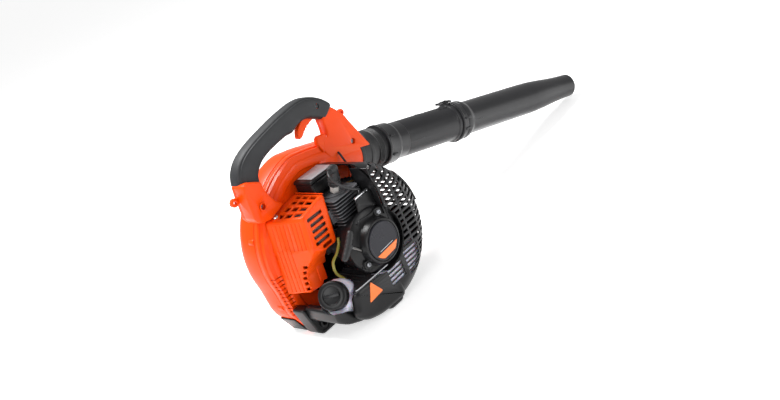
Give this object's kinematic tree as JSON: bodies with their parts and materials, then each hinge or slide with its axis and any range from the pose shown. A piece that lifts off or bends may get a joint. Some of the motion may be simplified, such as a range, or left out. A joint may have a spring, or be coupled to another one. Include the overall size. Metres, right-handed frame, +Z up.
{
  "type": "leaf blower",
  "caption": "Handheld petrol leaf blower with a volute fan, a small two-stroke engine on its side, a looped top handle and a two-section tube.",
  "frame": {"origin": "middle of the footprint, on the floor that the skids rest on", "axes": "+X forward along the machine to the nozzle, +Y to the left (the intake side), +Z up"},
  "size_m": [0.9523, 0.2333, 0.3734],
  "materials": {
    "orange_shell": "glossy moulded orange housing",
    "black_plastic": "black glass-filled moulding",
    "tube_plastic": "satin charcoal blow-moulded tube",
    "soft_grip": "soft dark grey overmould",
    "rubber": "black rubber",
    "steel": "zinc-plated steel",
    "aluminium": "die-cast aluminium",
    "brass": "brass",
    "silver_plate": "plain silver plate",
    "tank_plastic": "translucent natural plastic",
    "fuel_hose": "olive fuel hose",
    "ceramic": "glazed ceramic",
    "foam": "open-cell foam",
    "red_plastic": "glossy red moulding",
    "rope": "braided rope"
  },
  "bodies": {
    "machine": {"fan_housing_right": "orange_shell", "fan_housing_left": "orange_shell", "intake_guard": "black_plastic", "rear_skid": "black_plastic", "front_skid": "black_plastic", "outlet_sleeve": "rubber", "handle_shell_right": "orange_shell", "handle_shell_left": "orange_shell", "handle_grip": "soft_grip", "trigger_pin": "steel", "throttle_cable": "rubber", "rear_leg_screw": "steel", "front_leg_screw": "steel", "crankcase": "aluminium", "bearing_right": "steel", "bearing_left": "steel", "cylinder": "aluminium", "piston": "aluminium", "connecting_rod": "steel", "spark_plug": "ceramic", "plug_cap": "rubber", "ignition_lead": "rubber", "ignition_coil": "black_plastic", "muffler": "steel", "muffler_cover": "orange_shell", "intake_spacer": "black_plastic", "carburettor": "aluminium", "air_filter_case": "black_plastic", "air_filter": "foam", "intake_hose": "rubber", "starter_housing": "black_plastic", "starter_screw_upper": "steel", "starter_screw_lower": "steel", "hub_badge": "black_plastic", "starter_post": "steel", "recoil_spring": "steel", "fuel_tank": "tank_plastic", "fuel_line": "fuel_hose", "tank_vent": "fuel_hose", "engine_cover": "black_plastic", "base_bracket": "black_plastic", "cover_screw": "steel"},
    "crank": {"crankshaft": "steel", "flywheel": "aluminium", "impeller": "black_plastic", "impeller_nut": "steel"},
    "trigger": {"trigger": "orange_shell"},
    "throttle": {"throttle_lever": "brass"},
    "stop_switch": {"stop_switch": "red_plastic"},
    "choke": {"choke_lever": "black_plastic"},
    "primer": {"primer_bulb": "red_plastic"},
    "fuel_cap": {"fuel_cap": "black_plastic"},
    "starter_grip": {"starter_grip": "rubber", "starter_rope": "rope"},
    "starter_pulley": {"starter_pulley": "black_plastic"},
    "filter_lid": {"air_filter_lid": "black_plastic", "rating_plate": "silver_plate"},
    "tube": {"blower_tube": "tube_plastic"},
    "nozzle": {"nozzle": "tube_plastic"},
    "latch": {"tube_latch": "steel"}
  },
  "joints": [
    {"name": "crank_spin", "type": "hinge", "parent": "machine", "child": "crank", "pos_m": [-0.3229, 0.0334, 0.125], "axis": [0, 1, 0], "continuous": true},
    {"name": "trigger_pull", "type": "hinge", "parent": "machine", "child": "trigger", "pos_m": [-0.2509, 0.0334, 0.328], "axis": [0, 1, 0], "range_deg": [0, 16], "stiffness_Nm_per_rad": 0.15, "springref_deg": -17.19},
    {"name": "throttle_turn", "type": "hinge", "parent": "machine", "child": "throttle", "pos_m": [-0.2659, -0.0416, 0.213], "axis": [0, 0, 1], "range_deg": [-55, 0]},
    {"name": "stop_slide", "type": "slide", "parent": "machine", "child": "stop_switch", "axis": [1, 0, 0], "range_m": [0, 0.006]},
    {"name": "choke_turn", "type": "hinge", "parent": "machine", "child": "choke", "pos_m": [-0.2519, -0.0586, 0.207], "axis": [0, 1, 0], "range_deg": [0, 60]},
    {"name": "primer_press", "type": "slide", "parent": "machine", "child": "primer", "axis": [0, 1, 0], "range_m": [0, 0.004], "stiffness_N_per_m": 250, "springref_m": -0.002},
    {"name": "fuel_cap_turn", "type": "hinge", "parent": "machine", "child": "fuel_cap", "pos_m": [-0.44199, -0.07716, 0.08857], "axis": [-0.7018, -0.4511, 0.5514], "range_deg": [0, 540]},
    {"name": "starter_pull", "type": "slide", "parent": "machine", "child": "starter_grip", "axis": [-0.7071, 0, 0.7071], "range_m": [0, 0.6], "stiffness_N_per_m": 14, "springref_m": -0.35},
    {"name": "pulley_turn", "type": "hinge", "parent": "machine", "child": "starter_pulley", "pos_m": [-0.3229, -0.0991, 0.125], "axis": [0, 1, 0], "range_deg": [0, 1376]},
    {"name": "lid_lift", "type": "slide", "parent": "machine", "child": "filter_lid", "axis": [0, 0, 1], "range_m": [0, 0.03]},
    {"name": "tube_pull", "type": "slide", "parent": "machine", "child": "tube", "axis": [0.9617, 0, -0.274], "range_m": [0, 0.05]},
    {"name": "nozzle_pull", "type": "slide", "parent": "tube", "child": "nozzle", "axis": [0.9617, 0, -0.274], "range_m": [0, 0.05]},
    {"name": "latch_lift", "type": "hinge", "parent": "nozzle", "child": "latch", "pos_m": [0.10099, 0.0554, 0.17969], "axis": [0, 1, 0], "range_deg": [0, 60]}
  ],
  "couplings": [
    {"joint": "throttle_turn", "follows": "trigger_pull", "ratio": -3.4375},
    {"joint": "pulley_turn", "follows": "starter_pull", "rad_per_m": 40}
  ]
}
